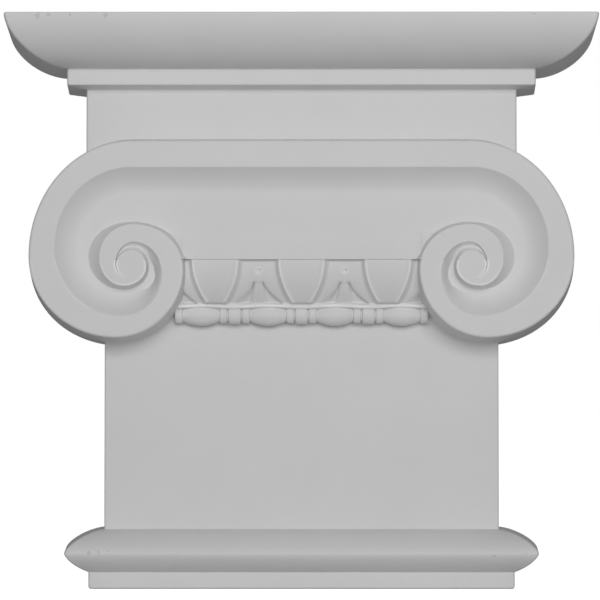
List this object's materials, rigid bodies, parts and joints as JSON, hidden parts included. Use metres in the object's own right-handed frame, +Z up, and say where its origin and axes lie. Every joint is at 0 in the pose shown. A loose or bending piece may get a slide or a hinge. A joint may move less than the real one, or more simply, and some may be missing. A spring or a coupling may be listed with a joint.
{
  "type": "ionic pilaster capital",
  "caption": "Moulded Ionic pilaster capital with a flat back, scrolled volutes, an egg-and-dart band and a moulded abacus.",
  "frame": {"origin": "the centre of the bounding box on the underside of the base fillet", "axes": "+X across the front to the viewer's right, +Z up, and the flat back faces +Y"},
  "size_m": [0.3088, 0.0724, 0.2913],
  "materials": {
    "primed_casting": "factory-primed white, matt, finely cast surface"
  },
  "bodies": {
    "root": {"ionic_pilaster_capital": "primed_casting"}
  },
  "joints": []
}
